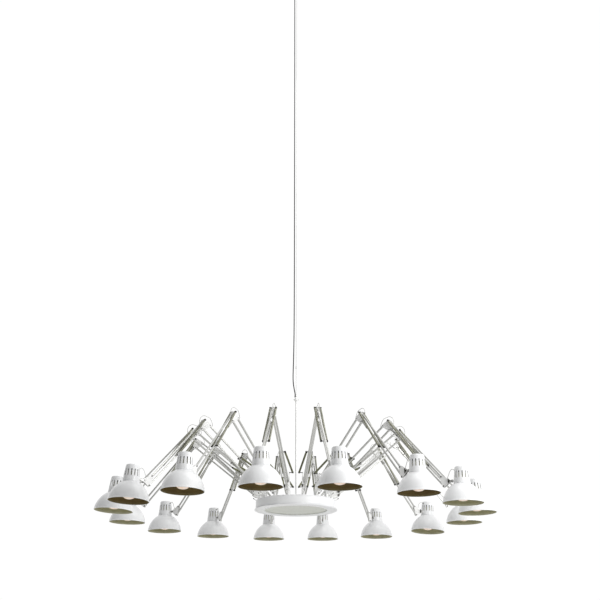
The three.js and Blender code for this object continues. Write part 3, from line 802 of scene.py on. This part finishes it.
def bulb_mesh():
    """A frosted globe bulb with its tapered throat."""
    piece = Piece(BULB_GLASS)
    face_rise = BULB_FLATNESS * BULB_RADIUS
    centre = BULB_BOTTOM + face_rise
    face = [(BULB_RADIUS * math.cos(math.radians(turn)), centre + face_rise * math.sin(math.radians(turn)))
            for turn in range(-80, 1, 10)]
    throat = [(BULB_RADIUS - 1.5, centre + 10), (BULB_RADIUS - 6, centre + 22),
              (BULB_RADIUS - 12, centre + 34), (17.4, centre + 44), (15.5, centre + 52),
              (14.5, centre + 62), (0, centre + 63)]
    profile = [(0, BULB_BOTTOM), *face, *throat]
    lifted = [(radius, height + SHADE_MOUTH_DROP) for radius, height in profile]
    piece.lathe(lifted, 40, (SHADE_AXIS_OUT, 0))
    return piece.mesh("bulb", 60)


# ---------------------------------------------------------------- feet


def foot_mesh():
    """One arm's post, fork, spring hooks and small lever, in the arm's local frame."""
    piece = Piece(FOOT_WHITE, DARK_METAL, BRIGHT_STEEL)
    flange = POST_RADIUS + 5
    post = [(0, DRUM_TOP_DROP - 0.5), (flange, DRUM_TOP_DROP - 0.5), (flange, DRUM_TOP_DROP + 3),
            (flange - 1, DRUM_TOP_DROP + 4), (POST_RADIUS, DRUM_TOP_DROP + 4.5),
            (POST_RADIUS, FOOT_FLOOR), (0, FOOT_FLOOR)]
    piece.lathe(post, 28, (POST_OUT, 0))
    left = SHOULDER_INNER.x - 10
    inner, outer = FORK_FACES
    floor_end = POST_OUT + 18
    floor = [(left, -outer), (floor_end, -outer), (floor_end, outer), (left, outer)]
    piece.solid(floor, FOOT_FLOOR, FOOT_FLOOR + 4, 0.6)
    hook = Vector(HOOK)
    cheek = [Vector((left + 6, FOOT_FLOOR + 3)), Vector((floor_end - 6, FOOT_FLOOR + 3)),
             SHOULDER + Vector((3, -4)), SHOULDER + Vector((3, 4)), SHOULDER_INNER + Vector((9, 7)),
             hook + Vector((3, 3)), hook + Vector((-3, 3)), SHOULDER_INNER + Vector((-3, 4)),
             SHOULDER_INNER + Vector((-3, -6))]
    for low, high in ((inner, outer), (-outer, -inner)):
        piece.plate(cheek, 3, low, high, 0, 0.5)
    for side in (-1, 1):
        low, high = sorted((side * inner, side * (HOOK_SPREAD + 5)))
        piece.pin(hook, SPRING_PIN, low, high, 1, 12)
        for start, end in ((-5, -1.2), (1.2, 5)):
            low, high = sorted((side * (HOOK_SPREAD + start), side * (HOOK_SPREAD + end)))
            piece.pin(hook, PIN_BARREL, low, high, 1, 16)
    piece.bolt(SHOULDER_INNER, 3.6, outer, 1.8, 1)
    lever = [(POST_OUT, 0, -37), (POST_OUT + 16, 0, -37), (POST_OUT + 30, 0, -34), (POST_OUT + 42, 0, -26)]
    piece.tube(smooth_path(lever, 5), 1.7, 10, 2)
    piece.tube([(POST_OUT + 41, 0, -27), (POST_OUT + 46, 0, -22)], 2.6, 12, 1)
    return piece.mesh("arm_foot")


# ---------------------------------------------------------------- arms in place


def blended(name, data, place):
    """A piece that crosses one joint, with its place baked into its mesh; it is attached to no body."""
    piece = bpy.data.objects.new(name, data.copy())
    bpy.context.scene.collection.objects.link(piece)
    piece.matrix_world = place
    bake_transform(piece)
    return piece


def make_arms():
    lower, upper = lower_arm_mesh(), upper_arm_mesh()
    bulb, foot = bulb_mesh(), foot_mesh()
    shades = {}
    lower_springs = spring_pair_mesh("lower_springs", Vector(HOOK), LOWER_PIN, HOOK_SPREAD,
                                     LOWER_SPRING_SPREAD, SPRING_OLIVE)
    upper_springs = spring_pair_mesh("upper_springs", ELBOW, UPPER_PIN, UPPER_SPRING_SPREAD,
                                     UPPER_SPRING_SPREAD, SPRING_STEEL)
    elbow_cable = elbow_cable_mesh()
    for label, (turn, tilt) in zip(LABELS, HEAD_STANCE):
        place = arm_place(label)
        # The darker or the lighter copy of the inside coat, by lamp: painted shade or painted light.
        coat = INSIDE_SHADED if label in SHADED_INSIDE else INSIDE_LIT
        if (turn, coat) not in shades:
            shades[turn, coat] = shade_mesh(turn, coat)
        pin = place @ Matrix.Translation(at(HEAD, 0) * MM)
        clamp = pin @ Matrix.Rotation(-math.radians(tilt), 4, "Y")
        turned = swivelled(turn, tilt)
        turned.translation *= MM
        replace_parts(put(f"lower_bars_{label}", lower, f"lower_arm_{label}", place),
                    f"lower_arm_{label}")
        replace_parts(put(f"upper_bars_{label}", upper, f"upper_arm_{label}", place),
                    f"upper_arm_{label}")
        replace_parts(put(f"bell_shade_{label}", shades[turn, coat], f"shade_{label}", clamp),
                    f"shade_{label}")
        put(f"bulb_{label}", bulb, f"shade_{label}", pin @ turned)
        put(f"arm_foot_{label}", foot, "root", place)
        put(f"upper_springs_{label}", upper_springs, f"upper_arm_{label}", place)
        blended(f"lower_springs_{label}", lower_springs, place)
        blended(f"elbow_cable_{label}", elbow_cable, place)
        blended(f"head_cable_{label}", head_cable_mesh(turn, tilt), place)


# ---------------------------------------------------------------- drum


def drum_top():
    """Height of the drum's top face, in millimetres."""
    return joints["shoulder_01"]["pos_m"][2] / MM + DRUM_TOP_DROP


def repaint(node, material):
    """Gives a node of the frame that is kept as it is its own material."""
    materials = frame["nodes"][node].data.materials
    materials.clear()
    materials.append(material)


def drum_mesh():
    """The drum's wall, small lip and annular underside."""
    low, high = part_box("drum_housing")
    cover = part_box("bottom_cover")[1].x / MM
    lip, bottom, top = high.x / MM, low.z / MM, high.z / MM
    wall = lip - DRUM_LIP
    piece = Piece(DRUM_WHITE_LIT)
    profile = [(cover + 0.4, bottom + 9), (cover + 0.4, bottom + 0.8), (cover + 1.2, bottom),
               (lip - 2.5, bottom), (lip - 0.8, bottom + 0.7), (lip, bottom + 2),
               (lip - 0.8, bottom + 3.5), (lip - 2.5, bottom + 4.2),
               (wall - 2.4, bottom + 4.6), (wall - 2.4, bottom + 8.6), (wall - 0.4, bottom + 8.8),
               (wall, bottom + 9.4), (wall, top - 0.8), (wall - 0.8, top),
               (wall - 3, top), (wall - 3, bottom + 9), (cover + 0.4, bottom + 9)]
    piece.lathe(profile, 160)
    return piece.mesh("drum", 30)


def carrier_mesh():
    """The drum's top plate with its rolled edge and central boss."""
    surface = drum_top()
    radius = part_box("drum_housing")[1].x / MM - DRUM_LIP
    piece = Piece(DRUM_WHITE_LIT)
    profile = [(0, surface - 5), (radius - 1, surface - 5), (radius, surface - 4), (radius, surface - 1.5),
               (radius - 1.5, surface), (60, surface), (55, surface + 1.5), (0, surface + 1.5)]
    piece.lathe(profile, 160)
    return piece.mesh("carrier", 30)


def cover_mesh():
    """The glossy disc recessed in the drum's underside, dished by a hair."""
    low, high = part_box("bottom_cover")
    radius, bottom = high.x / MM, low.z / MM
    piece = Piece(COVER_GLOSS)
    rings = [(0, bottom + 0.8)] + [(radius * step / 12, bottom + 0.8 * (1 - (step / 12) ** 2))
                                    for step in range(1, 12)]
    profile = [*rings, (radius - 0.8, bottom), (radius, bottom + 0.8), (radius, bottom + 3), (0, bottom + 3)]
    piece.lathe(profile, 128)
    return piece.mesh("cover", 40)


def make_drum():
    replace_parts(put("drum_shell", drum_mesh(), "root"), "drum_housing")
    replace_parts(put("drum_top_plate", carrier_mesh(), "root"), "arm_carrier")
    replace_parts(put("drum_bottom_disc", cover_mesh(), "root"), "bottom_cover")
    repaint("terminal_box", GREY_PLASTIC)


# ---------------------------------------------------------------- hanging parts

# The cord's route from its gland beside the wire to the rod's top fitting: x, y, z, metres.
CORD_ROUTE = [
    (-0.017, 0, -0.057), (-0.017, 0, -0.080), (-0.0165, 0, -0.200), (-0.016, -0.001, -0.500),
    (-0.0155, -0.001, -0.800), (-0.015, -0.001, -1.200), (-0.0145, -0.002, -1.600), (-0.014, -0.002, -2.000),
    (-0.0135, -0.002, -2.400), (-0.0135, -0.002, -2.700), (-0.014, -0.002, -2.900), (-0.015, -0.002, -3.050),
    (-0.017, -0.002, -3.170), (-0.019, -0.002, -3.250), (-0.020, -0.002, -3.300), (-0.019, -0.002, -3.332),
    (-0.0165, -0.001, -3.358), (-0.0125, -0.001, -3.382), (-0.0085, 0, -3.402), (-0.0063, 0, -3.419),
    (-0.006, 0, -3.432),
]


def cord_curve():
    """The black mains cord as one smooth round curve."""
    data = bpy.data.curves.new("power_flex", "CURVE")
    data.dimensions = "3D"
    data.bevel_depth = CORD_DIAMETER / 2 * MM
    data.bevel_resolution = 5
    data.use_fill_caps = True
    path = smooth_path(CORD_ROUTE, CORD_STEPS)
    spline = data.splines.new("POLY")
    spline.points.add(len(path) - 1)
    for point, place in zip(spline.points, path):
        point.co = (*place, 1)
    data.materials.append(BLACK_RUBBER)
    piece = bpy.data.objects.new("power_flex", data)
    bpy.context.scene.collection.objects.link(piece)
    return piece


def wire_mesh():
    """The steel wire as a fine straight tube, and its length in metres."""
    low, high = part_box("suspension_wire")
    piece = Piece(BRIGHT_STEEL)
    bottom, top = low.z / MM, high.z / MM
    steps = 120
    heights = [bottom + (top - bottom) * step / steps for step in range(steps + 1)]
    piece.tube([(0, 0, height) for height in heights], WIRE_DIAMETER / 2, 8)
    return piece.mesh("wire", 70), (top - bottom) * MM


def fitting_mesh():
    """The rod's top fitting: a turned sleeve, a pressed bracket, its eye and the cord's bush."""
    low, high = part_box("top_fitting")
    bottom, top = low.z / MM, high.z / MM
    sleeve_top = bottom + 26
    piece = Piece(PLATE_WHITE, BRIGHT_STEEL, DARK_METAL)
    piece.lathe([(0, bottom), (8.5, bottom), (10, bottom + 1.5), (10, bottom + 14), (8, bottom + 16),
                 (8, sleeve_top - 2), (7, sleeve_top), (0, sleeve_top)], 32)
    for side in (-1, 1):
        piece.tube([(side * 9, 0, bottom + 7), (side * 15, 0, bottom + 7)], 2.2, 10, 1)
        piece.tube([(side * 15, 0, bottom + 7), (side * 16.5, 0, bottom + 7)], 4.2, 6, 1)
    eye = top - 10
    ring = [(0, 8 * math.cos(math.radians(turn)), eye + 8 * math.sin(math.radians(turn)))
            for turn in range(0, 361, 15)]
    piece.tube(ring, 2, 10, 1, caps=False)
    x, y, z = (value / MM for value in CORD_ROUTE[-1])
    piece.lathe([(0, sleeve_top - 1), (5.6, sleeve_top - 1), (5.6, z - 3.4), (4.4, z - 0.3), (0, z - 0.3)],
                20, (x, y), 2)
    return piece.mesh("fitting")


def crimp_mesh():
    low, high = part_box("wire_gripper")
    bottom, top = low.z / MM, high.z / MM
    piece = Piece(BRIGHT_STEEL)
    piece.lathe([(1.3, bottom), (2.6, bottom), (3, bottom + 1), (3, bottom + 5), (2.5, bottom + 6),
                 (2.5, top - 6), (3, top - 5), (3, top - 1), (2.6, top), (1.3, top), (1.3, bottom)], 24)
    return piece.mesh("crimp")


def rod_mesh():
    """The stem rod with its collar on the drum and nut beneath."""
    low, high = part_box("stem_rod")
    bottom, top = low.z / MM, high.z / MM
    surface = drum_top() + 0.3
    piece = Piece(ROD_SATIN, PLATE_WHITE)
    piece.lathe([(0, bottom), (4.4, bottom), (5, bottom + 0.8), (5, top - 0.8), (4.4, top), (0, top)], 32)
    piece.lathe([(5, surface + 1.6), (11, surface + 1.6), (11, surface + 4), (9.4, surface + 5),
                 (9.4, surface + 12), (8, surface + 14), (5, surface + 14)], 32, material=1)
    return piece.mesh("rod")


def canopy_mesh():
    """The ceiling canopy, a pressed cup with a rolled corner."""
    low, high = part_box("ceiling_canopy")
    radius, bottom, top = high.x / MM, low.z / MM, high.z / MM
    piece = Piece(DRUM_WHITE_LIT)
    corner = [(radius - 6 + 6 * math.sin(math.radians(turn)), bottom + 6 - 6 * math.cos(math.radians(turn)))
              for turn in range(0, 91, 15)]
    inner = [(radius - 7 + 5 * math.sin(math.radians(turn)), bottom + 7 - 5 * math.cos(math.radians(turn)))
             for turn in range(90, -1, -15)]
    profile = [(4.6, bottom), *corner, (radius, top), (radius - 2, top), *inner,
               (4.6, bottom + 2), (4.6, bottom)]
    piece.lathe(profile, 96)
    return piece.mesh("canopy", 30)


def gland_mesh():
    """The cord's ribbed gland and tapered strain relief under the canopy."""
    low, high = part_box("cord_gland")
    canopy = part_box("ceiling_canopy")[0].z / MM
    x, y = ((low.x + high.x) / 2 / MM, (low.y + high.y) / 2 / MM)
    bottom = low.z / MM
    piece = Piece(GREY_PLASTIC)
    ribs = []
    for rib in range(4):
        height = canopy - 8 + 1.9 * rib
        ribs += [(7, height), (7, height + 1.1), (6.2, height + 1.3), (6.2, height + 1.8)]
    relief = [(0, bottom), (4.6, bottom), (5.2, bottom + 4), (6.2, canopy - 8.4)]
    piece.lathe([*relief, *ribs, (0, canopy - 0.4)], 32, (x, y))
    piece.lathe([(0, canopy - 0.4), (4.8, canopy - 0.4), (4.8, high.z / MM), (0, high.z / MM)], 24, (x, y))
    return piece.mesh("gland", 35)


def make_hanging_parts():
    cord = cord_curve()
    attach(cord, "root")
    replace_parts(cord, "power_cord")
    crimp = put("wire_crimp", crimp_mesh(), "root")
    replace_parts(crimp, "wire_gripper")
    data, length = wire_mesh()
    wire = put("hanging_wire", data, "root")
    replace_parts(wire, "suspension_wire")
    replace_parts(put("rod_top_fitting", fitting_mesh(), "root"), "top_fitting")
    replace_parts(put("stem", rod_mesh(), "root"), "stem_rod")
    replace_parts(put("canopy_cup", canopy_mesh(), "root"), "ceiling_canopy")
    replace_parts(put("gland", gland_mesh(), "root"), "cord_gland")
    repaint("ceiling_plate", BRIGHT_STEEL)


make_hanging_parts()
make_drum()
make_arms()

# ---------------------------------------------------------------- stage and light


def make_floor():
    material = painted("floor_pale", (0.80, 0.80, 0.79), (0.84, 0.84, 0.83), 0.8, 60, 0.05)
    data = bpy.data.meshes.new("floor")
    reach = FLOOR_REACH
    corners = [(-reach, -reach), (reach, -reach), (reach, reach), (-reach, reach)]
    data.from_pydata([(x, y, FLOOR_HEIGHT) for x, y in corners], [], [(0, 1, 2, 3)])
    data.materials.append(material)
    floor = bpy.data.objects.new("floor", data)
    bpy.context.scene.collection.objects.link(floor)


def make_world():
    """White studio air: full behind and to the right of the lamp, dimmer to the left and front."""
    world = bpy.data.worlds.new("studio")
    bpy.context.scene.world = world
    world.use_nodes = True
    tree = world.node_tree
    sky = tree.nodes["Background"]
    where = tree.nodes.new("ShaderNodeTexCoord")
    facing = tree.nodes.new("ShaderNodeVectorMath")
    facing.operation = "DOT_PRODUCT"
    facing.inputs[1].default_value = Vector((0.45, 0.80, 0.40)).normalized()
    level = tree.nodes.new("ShaderNodeMapRange")
    level.inputs["From Min"].default_value = -0.6
    level.inputs["From Max"].default_value = 0.45
    level.inputs["To Min"].default_value = 0.16
    level.inputs["To Max"].default_value = 1.02
    tree.links.new(where.outputs["Generated"], facing.inputs[0])
    tree.links.new(facing.outputs["Value"], level.inputs["Value"])
    tree.links.new(level.outputs["Result"], sky.inputs["Strength"])
    sky.inputs["Color"].default_value = (1, 1, 1, 1)


def area_light(name, place, target, size, power):
    data = bpy.data.lights.new(name, "AREA")
    data.shape = "SQUARE"
    data.size = size
    data.energy = power
    light = bpy.data.objects.new(name, data)
    light.location = place
    light.rotation_euler = (Vector(target) - Vector(place)).to_track_quat("-Z", "Y").to_euler()
    light.visible_camera = False
    bpy.context.scene.collection.objects.link(light)


make_floor()
make_world()
middle = Vector((0, 0, -4.0))
area_light("key_right", (2.9, -3.0, -3.3), middle, 1.8, 95)
area_light("top_soft", (0.8, -0.6, -1.2), middle, 2.0, 20)
bpy.context.scene.view_settings.view_transform = "Standard"
